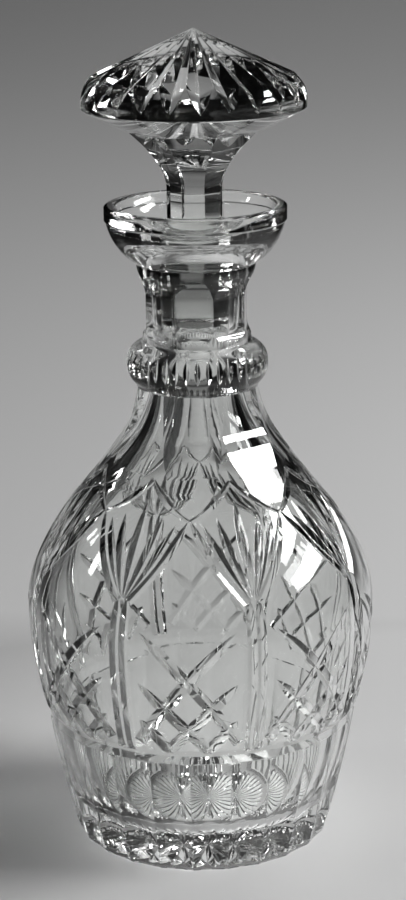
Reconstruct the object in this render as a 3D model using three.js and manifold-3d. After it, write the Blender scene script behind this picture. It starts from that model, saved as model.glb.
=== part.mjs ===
// Cut-crystal decanter with a mushroom stopper.
// Millimetres, +Z up. It stands on z = 0 and the middle of one panel of the pattern faces -Y.
import * as THREE from "three";
import Module from "manifold-3d";

const wasm = await Module();
wasm.setup();

// Counts of what repeats round the glass
const PANELS = 8;
const FLUTES = 24;
const NOTCHES = 40;
const STAR_RAYS = 24;
const STOPPER_CUTS = 24;
const ROUND_SEGMENTS = 40;
const CAVITY_SEGMENTS = 24;

// Base of the bottle
const FOOT_RADIUS = 42.2;
const FOOT_BEVEL = 1.2;
const FOOT_RING = 7;
const BASE_HEIGHT = 41;
const BASE_TOP_RADIUS = 51.1;

// Plain band between the base and the belly
const BAND_WIDTH = 5.5;
const BAND_DEPTH = 1.1;
const BAND_SPREAD = 1.3;

// Belly and shoulder
const BELLY_SWELL = 4.6;
const BELLY_LOWER = 33.5;
const BELLY_UPPER = 38;
const SHOULDER_INSET = 18.2;
const SHOULDER_LENGTH = 34.5;
const SHOULDER_TOP_RADIUS = 19.8;

// Ring round the foot of the neck
const RING_RADIUS = 22.8;
const RING_LOWER = 7.8;
const RING_UPPER = 7.2;

// Neck and lip
const NECK_FOOT_RADIUS = 17.7;
const NECK_RADIUS = 17;
const NECK_FLAT = 15.7;
const NECK_FOOT = 5;
const NECK_STRAIGHT = 10;
const NECK_FLARE = 10;
const NECK_TOP_RADIUS = 19.2;
const LIP_RADIUS = 29.1;
const LIP_CURVE = 13.5;
const LIP_BAND = 5;
const LIP_WALL = 3.6;
const LIP_EDGE = 0.6;

// Inside of the bottle
const WALL = 6.2;
const FLOOR = 11;
const FLOOR_FLAT_RADIUS = 26;
const SHOULDER_WALL = 7.4;
const CUP_DEPTH = 12;
const THROAT_RADIUS = 11.6;
const THROAT_END_RADIUS = 10.5;
const THROAT_LENGTH = 28;

// Cuts of the belly
const COLUMN_DEPTH = 1.8;
const ARCH_DEPTH = 2;
const LEAF_DEPTH = 1.4;
const LATTICE_DEPTH = 1.3;
const FAN_LENGTH = 20.8;
const LATTICE_STEP = 16.2;
const LEAF_START = 2.5;

// Notches of the ring and star of the underside
const NOTCH_DEPTH = 0.7;
const NOTCH_LENGTH = 8;
const STAR_DEPTH = 2;

// Stopper
const SEAT_GAP = 0.3;
const PLUG_LENGTH = 26;
const PLUG_BEVEL = 0.8;
const PLUG_SHOULDER = 8;
const STEM_FLAT = 8.75;
const STEM_LENGTH = 10;
const FLARE_LENGTH = 17.5;
const FLARE_RADIUS = 19.8;
const UNDERSIDE_RISE = 6.8;
const CAP_RADIUS = 35.4;
const CAP_RIM = 5.2;
const CAP_RISE = 19.6;
const CAP_ROUND = 5;
const CAP_ROUND_RADIUS = 32;
const CAP_DEPTH = 2.8;

// How far a cutter stands clear of the glass, and the grid that joins equal corners
const OVERRUN = 2;
const WELD = 0.0001;

// Control points of the curves: the share of the way in radius, then in height
const baseShares = [[0.62, 0.5]];
const bellyLowerShares = [[1, 0.5]];
const bellyUpperShares = [[0, 0.36], [0.58, 0.76]];
const shoulderShares = [[0.53, 0.36], [0.94, 0.7]];
const ringLowerShares = [[0.1, 0.25], [1, 0.25]];
const ringUpperShares = [[0, 0.7], [0.8, 0.82]];
const neckFlareShares = [[0, 0.5], [1, 0.65]];
const lipShares = [[0.72, 0.3], [0.9, 0.73]];
const floorShares = [[0.62, 0], [0.86, 0.22]];
const innerShoulderShares = [[0.55, 0.32], [0.95, 0.62]];
const cupShares = [[0.74, 0], [1, 0.4]];
const flareShares = [[0.05, 0.45]];
const plugShoulderShares = [[0.8, 0.35]];
const capRoundShares = [[0, 0.55]];

// Flats of the shoulder, from its foot to the ring: shares in radius and in height
const shoulderFlatShares = [[0, 0], [0.46, 0.296], [0.75, 0.5], [0.88, 0.645], [1.055, 1]];

// Depth along a cut, as a share of its full depth at even steps from its first end
const archDepthShares = [0.2, 1, 0.9];
const leafDepthShares = [0.35, 1, -0.1];
const columnDepthShares = [-0.1, 1, 1, 1];
const latticeDepthShares = [0.1, 1, 1];
const starDepthShares = [0.05, 0.95, -0.1];
const capDepthShares = [0.02, 0.5, 1, 0.85, -0.1];

// Half of each wheel's edge
const degrees = Math.PI / 180;
const COLUMN_EDGE = 55 * degrees;
const ARCH_EDGE = 52 * degrees;
const LEAF_EDGE = 54 * degrees;
const LATTICE_EDGE = 50 * degrees;
const NOTCH_EDGE = 62 * degrees;
const STAR_EDGE = 62 * degrees;
const CAP_EDGE = 54 * degrees;

// Angles of the pattern, from the middle of a panel or of a column
const panelAngle = 360 / PANELS * degrees;
const columnAngle = 2.6 * degrees;
const latticeStart = 16.5 * degrees;
const latticeEnd = 17.2 * degrees;
const latticeAngle = panelAngle / 3;
const leafAngles = [-16.5, -10, 0, 10, 16.5].map((angle) => angle * degrees);
const leafTopShares = [-0.04, 0.04, 0.23, 0.04, -0.04];

// Radii of the band, the belly and the foot of the shoulder, which follow the base
const bandTopRadius = BASE_TOP_RADIUS + BAND_SPREAD;
const bellyRadius = bandTopRadius + BELLY_SWELL;
const shoulderRadius = bellyRadius - SHOULDER_INSET;

// Places up the bottle and the stopper
const bandTop = BASE_HEIGHT + BAND_WIDTH;
const bellyHeight = bandTop + BELLY_LOWER;
const shoulderBottom = bellyHeight + BELLY_UPPER;
const ringBottom = shoulderBottom + SHOULDER_LENGTH;
const ringHeight = ringBottom + RING_LOWER;
const neckBottom = ringHeight + RING_UPPER;
const neckStraight = neckBottom + NECK_FOOT;
const neckFlare = neckStraight + NECK_STRAIGHT;
const lipBottom = neckFlare + NECK_FLARE;
const lipCrease = lipBottom + LIP_CURVE;
const lipTop = lipCrease + LIP_BAND;
const cupBottom = lipTop - CUP_DEPTH;
const throatBottom = cupBottom - THROAT_LENGTH;
const fanFoot = shoulderBottom - FAN_LENGTH;
const plugBottom = cupBottom - PLUG_LENGTH;
const stemBottom = cupBottom + PLUG_SHOULDER;
const flareBottom = stemBottom + STEM_LENGTH;
const flareTop = flareBottom + FLARE_LENGTH;
const rimBottom = flareTop + UNDERSIDE_RISE;
const rimTop = rimBottom + CAP_RIM;
const apex = rimTop + CAP_RISE;

function between(from, to, share) {
  return from + (to - from) * share;
}

// Points of a curve from one [radius, height] to another, without its first point
function curve(from, to, shares, steps) {
  const controls = shares.map(([r, z]) => [between(from[0], to[0], r), between(from[1], to[1], z)]);
  const points = [from, ...controls, to].map(([r, z]) => new THREE.Vector2(r, z));
  const Curve = points.length === 3 ? THREE.QuadraticBezierCurve : THREE.CubicBezierCurve;
  return new Curve(...points).getPoints(steps).slice(1).map(({ x, y }) => [x, y]);
}

// Turns a closed three.js shape into a solid that can be cut, with equal corners joined.
function solid(geometry) {
  const place = geometry.getAttribute("position");
  const corners = [];
  const numberOf = new Map();
  const joined = [];
  for (let i = 0; i < place.count; i++) {
    const corner = [place.getX(i), place.getY(i), place.getZ(i)];
    const key = corner.map((value) => Math.round(value / WELD) + 0).join(" ");
    if (!numberOf.has(key)) {
      numberOf.set(key, numberOf.size);
      corners.push(...corner);
    }
    joined.push(numberOf.get(key));
  }
  const faces = [];
  const order = geometry.index.array;
  for (let i = 0; i < order.length; i += 3) {
    const face = [joined[order[i]], joined[order[i + 1]], joined[order[i + 2]]];
    if (new Set(face).size === 3) faces.push(...face);
  }
  return new wasm.Manifold(new wasm.Mesh({
    numProp: 3,
    vertProperties: new Float32Array(corners),
    triVerts: new Uint32Array(faces),
  }));
}

// Turns a solid back into a named three.js mesh of crystal.
function crystal(name, body) {
  const { vertProperties, triVerts } = body.getMesh();
  const geometry = new THREE.BufferGeometry();
  geometry.setAttribute("position", new THREE.BufferAttribute(new Float32Array(vertProperties), 3));
  geometry.setIndex(new THREE.BufferAttribute(new Uint32Array(triVerts), 1));
  geometry.computeVertexNormals();
  const material = new THREE.MeshStandardMaterial({
    name: "crystal", color: 0xdfe6e8, roughness: 0.03, metalness: 0, transparent: true, opacity: 0.4,
    flatShading: true,
  });
  const mesh = new THREE.Mesh(geometry, material);
  mesh.name = name;
  return mesh;
}

// A profile of [radius, height] turned about the Z axis. It starts and ends on the axis.
function turned(profile, segments, start = 0) {
  const points = profile.map(([radius, height]) => new THREE.Vector2(radius, height));
  return solid(new THREE.LatheGeometry(points, segments, start).rotateX(Math.PI / 2));
}

// A body with flat sides, whose flats stand at the given distances from the axis.
function faceted(sides, flats) {
  const half = Math.PI / sides;
  return turned(flats.map(([flat, height]) => [flat / Math.cos(half), height]), sides, half);
}

function joinAll(bodies) {
  return bodies.reduce((whole, body) => whole.add(body));
}

// One body for each of the evenly spaced angles round the axis
function around(count, offset, make) {
  return Array.from({ length: count }, (_, i) => make((i + offset) * 2 * Math.PI / count)).flat();
}

// The cut that a V-edged wheel leaves along a row of stations, each with its own depth
function mitre(stations, edge) {
  const positions = [];
  const faces = [];
  const last = stations.length - 1;
  stations.forEach(({ point, normal, depth }, i) => {
    const before = stations[Math.max(i - 1, 0)].point;
    const after = stations[Math.min(i + 1, last)].point;
    const across = after.clone().sub(before).cross(normal).normalize();
    const reach = (depth + OVERRUN) * Math.tan(edge);
    const top = point.clone().addScaledVector(normal, OVERRUN);
    const bottom = point.clone().addScaledVector(normal, -depth);
    const right = top.clone().addScaledVector(across, reach);
    const left = top.clone().addScaledVector(across, -reach);
    positions.push(...bottom.toArray(), ...right.toArray(), ...left.toArray());
    if (i === last) return;
    for (let side = 0; side < 3; side++) {
      const a = 3 * i + side;
      const b = 3 * i + (side + 1) % 3;
      faces.push(b, a, a + 3, b, a + 3, b + 3);
    }
  });
  faces.push(0, 1, 2, 3 * last, 3 * last + 2, 3 * last + 1);
  const geometry = new THREE.BufferGeometry();
  geometry.setAttribute("position", new THREE.Float32BufferAttribute(positions, 3));
  geometry.setIndex(faces);
  return solid(geometry);
}

// A cut that stays in one plane through the axis and follows a profile of [radius, height]
function meridianCut(profile, angle, depth, depthShares, edge) {
  const outward = new THREE.Vector3(Math.sin(angle), -Math.cos(angle), 0);
  const last = profile.length - 1;
  const stations = profile.map(([radius, height], i) => {
    const [r0, z0] = profile[Math.max(i - 1, 0)];
    const [r1, z1] = profile[Math.min(i + 1, last)];
    const normal = outward.clone().multiplyScalar(z1 - z0).setZ(r0 - r1).normalize();
    const point = outward.clone().multiplyScalar(radius).setZ(height);
    return { point, normal, depth: depth * depthShares[i] };
  });
  return mitre(stations, edge);
}

// Outline of the uncut bottle, from the foot to the top of the lip
const baseFoot = [FOOT_RADIUS, FOOT_BEVEL];
const baseTop = [BASE_TOP_RADIUS, BASE_HEIGHT];
const bellyFoot = [bandTopRadius, bandTop];
const belly = [bellyRadius, bellyHeight];
const shoulderFoot = [shoulderRadius, shoulderBottom];
const shoulderTop = [SHOULDER_TOP_RADIUS, ringBottom];
const ring = [RING_RADIUS, ringHeight];
const neckFoot = [NECK_FOOT_RADIUS, neckBottom];
const neckTop = [NECK_TOP_RADIUS, lipBottom];
const baseOutline = [
  [FOOT_RADIUS - FOOT_BEVEL, 0],
  baseFoot,
  ...curve(baseFoot, baseTop, baseShares, 3),
];
const outline = [
  [BASE_TOP_RADIUS - BAND_DEPTH, BASE_HEIGHT + BAND_DEPTH],
  [bandTopRadius - BAND_DEPTH, bandTop - BAND_DEPTH],
  bellyFoot,
  ...curve(bellyFoot, belly, bellyLowerShares, 3),
  ...curve(belly, shoulderFoot, bellyUpperShares, 5),
  ...curve(shoulderFoot, shoulderTop, shoulderShares, 5),
  ...curve(shoulderTop, ring, ringLowerShares, 4),
  ...curve(ring, neckFoot, ringUpperShares, 4),
  [NECK_RADIUS, neckStraight],
  [NECK_RADIUS, neckFlare],
  ...curve([NECK_RADIUS, neckFlare], neckTop, neckFlareShares, 4),
  ...curve(neckTop, [LIP_RADIUS, lipCrease], lipShares, 5),
  [LIP_RADIUS, lipTop - LIP_EDGE],
  [LIP_RADIUS - LIP_EDGE, lipTop],
];

// Radius of the uncut glass above the band
function radiusAt(height) {
  const next = Math.max(outline.findIndex((point) => point[1] >= height), 1);
  const [r0, z0] = outline[next - 1];
  const [r1, z1] = outline[next];
  return between(r0, r1, (height - z0) / (z1 - z0));
}

// A cut over the belly, straight in angle and height
function bellyCut(from, to, depth, depthShares, edge) {
  const last = depthShares.length - 1;
  const stations = depthShares.map((depthShare, i) => {
    const angle = between(from.angle, to.angle, i / last);
    const height = between(from.height, to.height, i / last);
    const slope = (radiusAt(height + OVERRUN) - radiusAt(height - OVERRUN)) / (2 * OVERRUN);
    const outward = new THREE.Vector3(Math.sin(angle), -Math.cos(angle), 0);
    const point = outward.clone().multiplyScalar(radiusAt(height)).setZ(height);
    return { point, normal: outward.clone().setZ(-slope).normalize(), depth: depth * depthShare };
  });
  return mitre(stations, edge);
}

// Two upright mitres side by side down each column
function columnCuts(column) {
  return [-columnAngle, columnAngle].map((side) => bellyCut(
    { angle: column + side, height: fanFoot },
    { angle: column + side, height: bandTop - BAND_DEPTH },
    COLUMN_DEPTH, columnDepthShares, COLUMN_EDGE,
  ));
}

// The two wide mitres that fall from the middle of a panel to the columns beside it
function archCuts(middle) {
  return [-panelAngle / 2, panelAngle / 2].map((side) => bellyCut(
    { angle: middle, height: shoulderBottom },
    { angle: middle + side, height: fanFoot },
    ARCH_DEPTH, archDepthShares, ARCH_EDGE,
  ));
}

// The leaves of the fan that opens upward from the head of a column
function fanCuts(column) {
  return leafAngles.map((angle, i) => {
    const top = shoulderBottom + FAN_LENGTH * leafTopShares[i];
    const start = LEAF_START / (top - fanFoot);
    return bellyCut(
      { angle: column + angle * start, height: fanFoot + LEAF_START },
      { angle: column + angle, height: top },
      LEAF_DEPTH, leafDepthShares, LEAF_EDGE,
    );
  });
}

// Crossed slanting mitres of the lower belly, three each way in a panel
function latticeCuts(middle) {
  return [-1, 1].flatMap((way) => [1.5, 0.5, -0.5].map((steps) => {
    const foot = Math.min(steps * latticeAngle, latticeEnd);
    const heightAt = (angle) => bandTop + LATTICE_STEP * (steps - angle / latticeAngle);
    return bellyCut(
      { angle: middle - way * latticeStart, height: heightAt(-latticeStart) },
      { angle: middle + way * foot, height: heightAt(foot) },
      LATTICE_DEPTH, latticeDepthShares, LATTICE_EDGE,
    );
  }));
}

// Short upright notches round the ring of the neck
function notchCut(angle) {
  const half = NOTCH_LENGTH / 2;
  const profile = [-half, half].map((step) => [RING_RADIUS, ringHeight + step]);
  return meridianCut(profile, angle, NOTCH_DEPTH, [1, 1], NOTCH_EDGE);
}

// Rays of the star under the foot
function starCut(angle) {
  const reach = FOOT_RADIUS - FOOT_RING;
  const profile = [[0, 0], [reach * 0.85, 0], [reach, 0]];
  return meridianCut(profile, angle, STAR_DEPTH, starDepthShares, STAR_EDGE);
}

// Eight flat slices down the shoulder and eight flats round the neck
function shoulderAndNeckFlats() {
  const clear = bellyRadius + OVERRUN;
  const clearOfRing = RING_RADIUS + OVERRUN;
  const slices = shoulderFlatShares.map(([r, z]) => [
    between(shoulderRadius, SHOULDER_TOP_RADIUS, r), between(shoulderBottom, ringBottom, z),
  ]);
  const [foot, next] = slices;
  const steepness = (next[1] - foot[1]) / (foot[0] - next[0]);
  return faceted(PANELS, [
    [0, -OVERRUN],
    [clear, -OVERRUN],
    [clear, shoulderBottom - (clear - shoulderRadius) * steepness],
    ...slices,
    [clearOfRing, ringBottom + OVERRUN],
    [clearOfRing, neckBottom - OVERRUN],
    [NECK_RADIUS, neckBottom + OVERRUN],
    [NECK_FLAT, neckStraight],
    [NECK_FLAT, neckFlare],
    [NECK_TOP_RADIUS, lipBottom - NECK_TOP_RADIUS + NECK_RADIUS],
    [clear, lipBottom],
    [clear, lipTop + OVERRUN],
    [0, lipTop + OVERRUN],
  ]);
}

// Solid bottle with its flat flutes, before it is hollowed and cut
function blank() {
  const base = turned([[0, 0], ...baseOutline, [0, BASE_HEIGHT]], FLUTES);
  const top = turned([[0, FLOOR], [BASE_TOP_RADIUS - BAND_DEPTH - WALL, FLOOR],
    [BASE_TOP_RADIUS - BAND_DEPTH - BAND_DEPTH, BASE_HEIGHT], ...outline, [0, lipTop]], ROUND_SEGMENTS);
  return base.add(top.intersect(shoulderAndNeckFlats()));
}

// Space inside the bottle, from the floor up through the throat and the cup of the lip
function cavity() {
  const bellyFootInside = [BASE_TOP_RADIUS - WALL, BASE_HEIGHT];
  const bellyInside = [bellyRadius - WALL, bellyHeight];
  const shoulderInside = [shoulderRadius - SHOULDER_WALL, shoulderBottom];
  const throatEnd = [THROAT_END_RADIUS, ringBottom];
  const cupTop = [LIP_RADIUS - LIP_WALL, lipTop - LIP_EDGE];
  return turned([
    [0, FLOOR],
    [FLOOR_FLAT_RADIUS, FLOOR],
    ...curve([FLOOR_FLAT_RADIUS, FLOOR], bellyFootInside, floorShares, 5),
    ...curve(bellyFootInside, bellyInside, bellyLowerShares, 5),
    ...curve(bellyInside, shoulderInside, bellyUpperShares, 7),
    ...curve(shoulderInside, throatEnd, innerShoulderShares, 6),
    [THROAT_END_RADIUS, throatBottom],
    [THROAT_RADIUS, cupBottom],
    ...curve([THROAT_RADIUS, cupBottom], cupTop, cupShares, 5),
    [LIP_RADIUS - LIP_WALL + LIP_EDGE, lipTop],
    [LIP_RADIUS - LIP_WALL + LIP_EDGE, lipTop + OVERRUN],
    [0, lipTop + OVERRUN],
  ], CAVITY_SEGMENTS);
}

function bottle() {
  const cuts = [
    ...around(PANELS, 0.5, columnCuts),
    ...around(PANELS, 0.5, fanCuts),
    ...around(PANELS, 0, archCuts),
    ...around(PANELS, 0, latticeCuts),
    ...around(NOTCHES, 0.5, notchCut),
    ...around(STAR_RAYS, 0, starCut),
  ];
  return blank().subtract(cavity()).subtract(joinAll(cuts));
}

// Radius of the throat at a height, for the ground plug that seats in it
function throatRadiusAt(height) {
  return between(THROAT_END_RADIUS, THROAT_RADIUS, (height - throatBottom) / THROAT_LENGTH);
}

function stopper() {
  const corner = 1 / Math.cos(panelAngle / 2);
  const plugTop = THROAT_RADIUS - SEAT_GAP;
  const plugEnd = throatRadiusAt(plugBottom) - SEAT_GAP;
  const flareFoot = [STEM_FLAT, flareBottom];
  const flareEnd = [FLARE_RADIUS, flareTop];
  const round = [CAP_RADIUS, rimTop - CAP_ROUND / 2];
  const cone = [CAP_ROUND_RADIUS, rimTop + CAP_ROUND];
  const flare = curve(flareFoot, flareEnd, flareShares, 6);
  const lower = [
    [0, plugBottom],
    [plugEnd - PLUG_BEVEL, plugBottom],
    [plugEnd, plugBottom + PLUG_BEVEL],
    [plugTop, cupBottom],
    ...curve([plugTop, cupBottom], [STEM_FLAT * corner, stemBottom], plugShoulderShares, 4),
    [STEM_FLAT * corner, flareBottom],
    ...flare.map(([r, z]) => [r * corner, z]),
    [CAP_RADIUS, rimBottom],
  ];
  const capProfile = [[CAP_RADIUS, rimBottom], round, ...curve(round, cone, capRoundShares, 3), [0, apex]];
  const body = turned([...lower, ...capProfile.slice(1)], STOPPER_CUTS, 0);
  const flats = faceted(PANELS, [
    [0, plugBottom - OVERRUN],
    [plugTop + OVERRUN, plugBottom - OVERRUN],
    [plugTop + OVERRUN, cupBottom],
    [STEM_FLAT, stemBottom],
    flareFoot,
    ...flare,
    [CAP_RADIUS, rimBottom],
    [CAP_RADIUS + OVERRUN * corner, rimTop],
    [CAP_RADIUS + OVERRUN * corner, apex + OVERRUN],
    [0, apex + OVERRUN],
  ]);
  const path = [[0, apex], [between(0, CAP_ROUND_RADIUS, 0.5), between(apex, cone[1], 0.5)], cone,
    [CAP_RADIUS, rimTop], [CAP_RADIUS, rimBottom + CAP_RIM / 2]].reverse();
  const cuts = around(STOPPER_CUTS, 0.5, (angle) => meridianCut(
    path, angle, CAP_DEPTH, [...capDepthShares].reverse(), CAP_EDGE));
  return body.intersect(flats).subtract(joinAll(cuts));
}

const group = new THREE.Group();
group.add(crystal("bottle", bottle()), crystal("stopper", stopper()));

export default group;
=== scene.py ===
"""A cut-crystal decanter and its mushroom stopper: turned blanks, cut with the wheels of a glass cutter."""

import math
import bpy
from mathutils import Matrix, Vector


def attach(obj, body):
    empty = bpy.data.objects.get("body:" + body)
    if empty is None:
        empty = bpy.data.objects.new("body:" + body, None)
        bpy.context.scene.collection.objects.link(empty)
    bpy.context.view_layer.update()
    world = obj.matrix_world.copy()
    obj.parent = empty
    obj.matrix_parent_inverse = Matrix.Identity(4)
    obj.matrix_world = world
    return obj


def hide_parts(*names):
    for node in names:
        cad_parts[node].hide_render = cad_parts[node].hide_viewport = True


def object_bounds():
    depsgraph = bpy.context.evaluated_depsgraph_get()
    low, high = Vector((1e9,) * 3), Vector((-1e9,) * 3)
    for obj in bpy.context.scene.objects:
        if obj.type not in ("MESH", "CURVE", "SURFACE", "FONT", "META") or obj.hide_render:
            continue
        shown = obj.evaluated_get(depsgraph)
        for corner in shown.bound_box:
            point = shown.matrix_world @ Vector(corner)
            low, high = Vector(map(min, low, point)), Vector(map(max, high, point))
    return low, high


bl_info = {
    "name": "Cut Crystal Decanter",
    "version": (1, 0, 0),
    "blender": (4, 5, 0),
    "location": "3D View > Sidebar > Decanter",
    "description": "Models a cut-crystal decanter with its stopper, and a plain studio for it",
    "category": "Add Mesh",
}

import bmesh
import bpy
from bpy.props import FloatProperty, FloatVectorProperty, PointerProperty
from mathutils import Matrix, Vector

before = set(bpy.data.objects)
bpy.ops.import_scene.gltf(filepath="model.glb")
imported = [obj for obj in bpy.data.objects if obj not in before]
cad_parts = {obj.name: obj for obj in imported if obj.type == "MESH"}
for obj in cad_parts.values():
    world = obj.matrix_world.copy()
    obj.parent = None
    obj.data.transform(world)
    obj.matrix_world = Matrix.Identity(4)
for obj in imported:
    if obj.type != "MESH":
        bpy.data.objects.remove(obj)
CAD_LOW, CAD_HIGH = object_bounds()
OVERALL = CAD_HIGH.z - CAD_LOW.z

# Counts of what repeats round the glass, and the steps of a turn
PANELS = 8
FLUTES = 24
STAR_RAYS = 32
NOTCHES = 40
STOPPER_CUTS = 24
TURNS = 192
INNER_TURNS = 128
FLOOR_TURNS = 96

# Each slanting mitre's start and end, as an angle from the panel's middle and a height, and its bow
SLANTS = (
    (-15.9, 0.0870, 17.2, 0.0490, 0.0021),
    (-16.5, 0.0703, 7.4, 0.0462, 0.0),
    (-16.5, 0.0572, -6.2, 0.0462, 0.0),
)

# Each leaf of a fan: its lean in degrees, and its tip over the slices' foot as a share of the fan's height
LEAVES = ((-16.5, -0.04), (16.5, -0.04), (-10.0, 0.035), (10.0, 0.035), (0.0, 0.225))

# How far a wheel stands clear of the glass, and the distances at which points are one or on the axis
CLEAR = 0.002
TOUCH = 0.000001
WELD = TOUCH * 5
ON_AXIS = 0.0001

# Sizes that are given one by one and not taken from a gauge, in metres
LIP_EDGE = 0.0009
FLOOR_RISE = 0.0012
SLOPE_REACH = 0.0015
STAR_MARGIN = 0.0065
PILLAR_HEAD = 0.004
PILLAR_TAIL = 0.0012
ARCH_HEAD = 0.0004
ARCH_TAIL = 0.0008
LEAF_TAIL = 0.0022
FINE_HEAD = 0.0002
FINE_BOW = -0.0006
FINE_TAIL_HEIGHT = 0.128
NOTCH_RISE = 0.0008
NOTCH_SPREAD = 0.0042
RIM_BEVEL = 0.0004
RIM_ROUND = 0.0025
FLATS_START = 0.001
VALLEY_DROP = 0.0007

# Angles of the pattern from the middle of a column, and the angle from which an edge is crisp, in degrees
PILLAR_TURN = 1.65
ARCH_TURN = 2.0
CRISP = 13

# Depth of each kind of cut along its length, as pairs of place and share
PILLAR_SHARES = ((0.0, -0.2), (0.1, 0.8), (0.2, 1.0), (1.0, 1.0))
ARCH_SHARES = ((0.0, 0.05), (0.15, 0.6), (0.45, 1.0), (1.0, 0.95))
LEAF_SHARES = ((0.0, 0.12), (0.12, 0.4), (0.35, 0.85), (0.58, 1.0), (0.78, 0.72), (0.92, 0.3), (1.0, -0.04))
SLANT_SHARES = ((0.0, -0.05), (0.08, 0.45), (0.2, 0.85), (0.4, 1.0), (1.0, 1.0))
FINE_SHARES = ((0.0, 0.5), (0.5, 1.0), (1.0, 0.5))
NOTCH_SHARES = ((0.0, -0.1), (0.25, 0.75), (0.5, 1.0), (0.75, 0.75), (1.0, -0.1))
FLUTE_SHARES = ((0.0, 0.25), (0.25, 0.9), (0.6, 1.0), (1.0, 0.5))
STAR_SHARES = ((0.0, 0.8), (0.3, 1.0), (0.8, 0.85), (1.0, -0.15))

# Shares in radius and height of the shoulder's slices, from their foot to the waist
SLICE_SHARES = (
    (0.0, 0.0), (0.12, 0.067), (0.24, 0.142), (0.35, 0.216), (0.46, 0.296), (0.57, 0.372), (0.67, 0.444),
    (0.75, 0.51), (0.82, 0.575), (0.885, 0.65), (0.94, 0.735), (0.985, 0.825), (1.02, 0.91), (1.045, 1.0),
)

# Shares in radius and height of the curves' control points
BASE_CURVE = ((0.62, 0.5),)
BELLY_LOWER_CURVE = ((1.0, 0.5),)
BELLY_UPPER_CURVE = ((0.0, 0.36), (0.58, 0.76))
SHOULDER_CURVE = ((0.53, 0.36), (0.94, 0.7))
RING_LOWER_CURVE = ((0.1, 0.25), (1.0, 0.25))
RING_UPPER_CURVE = ((0.0, 0.7), (0.8, 0.82))
NECK_FOOT_CURVE = ((0.6, 0.4),)
NECK_CURVE = ((0.0, 0.5),)
NECK_FLARE_CURVE = ((0.0, 0.5), (1.0, 0.65))
LIP_CURVE = ((0.72, 0.3), (0.9, 0.73))
LIP_EDGE_CURVE = ((0.0, 0.75),)
CUP_EDGE_CURVE = ((0.0, 0.7),)
FLOOR_MIDDLE_CURVE = ((0.5, 0.0), (0.8, 0.6))
NECK_FLAT_FOOT_CURVE = ((0.85, 0.35),)
NECK_FLAT_TOP_CURVE = ((0.1, 0.55),)
FLOOR_CURVE = ((0.62, 0.0), (0.86, 0.22))
INNER_SHOULDER_CURVE = ((0.55, 0.32), (0.95, 0.62))
CUP_CURVE = ((0.5, 0.12), (0.86, 0.36))
FLARE_CURVE = ((0.05, 0.45),)
PLUG_BEVEL_CURVE = ((0.75, 0.25),)
PLUG_SHOULDER_CURVE = ((0.8, 0.35),)
STEM_FOOT_CURVE = ((0.9, 0.4),)
CAP_ROUND_CURVE = ((0.0, 0.55),)
CAP_VALLEY_CURVE = ((0.35, 0.14),)
WALL_CURVE = ((1.0, 0.0),)

# The photograph's camera: its turn to the side, its tilt and roll in degrees, its aim off the axis as a
# share of the focal length, its lens in millimetres, and its distance from the axis and height in metres
CAMERA_TURN = 4.5
CAMERA_TILT = 16.08
CAMERA_ROLL = 0.75
CAMERA_ASIDE = 4.489 / 2326.86
CAMERA_LENS = 93.074
CAMERA_DISTANCE = 0.7281
CAMERA_HEIGHT = 0.3398

# Where the lamps aim
MIDDLE = (0.0, 0.0, 0.12)

# The floor's painted light in metres: the middle of its painted pool of light, and where the pool, strip and
# wall start to fade into painted shade and are dark
PAINTED_POOL_MIDDLE = (0.1, 0.0, 0.0)
PAINTED_POOL_LIT, PAINTED_POOL_DARK = 0.18, 0.48
PAINTED_STRIP_LIT, PAINTED_STRIP_DARK = 0.2, 0.0
PAINTED_WALL_LIT, PAINTED_WALL_DARK = 1.4, 2.8

# How the pale strip leans to the left as it runs back, and for each side how it spreads and where it fades
# into painted shade; the left side fades sooner, as painted shade on the side away from the key lamps
STRIP_LEAN = 0.08
STRIP_SIDES = ((0.09, -0.08, -0.155), (-0.06, 0.17, 0.3))


def length(name, description, default):
    return FloatProperty(
        name=name, description=description, default=default, min=0.0, unit="LENGTH", precision=4)


def angle(name, description, degrees):
    return FloatProperty(
        name=name, description=description, default=math.radians(degrees), subtype="ANGLE")


def power(name, description, default):
    return FloatProperty(name=name, description=description, default=default, min=0.0, unit="POWER")


def colour(code):
    """An sRGB colour, as its six hex digits, in Blender's linear values."""
    parts = [int(code[place:place + 2], 16) / 255 for place in (0, 2, 4)]
    return tuple(part / 12.92 if part <= 0.04045 else ((part + 0.055) / 1.055) ** 2.4 for part in parts)


def paint(name, description, code):
    return FloatVectorProperty(
        name=name, description=description, subtype="COLOR", size=3, min=0.0, max=1.0, default=colour(code))


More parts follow.
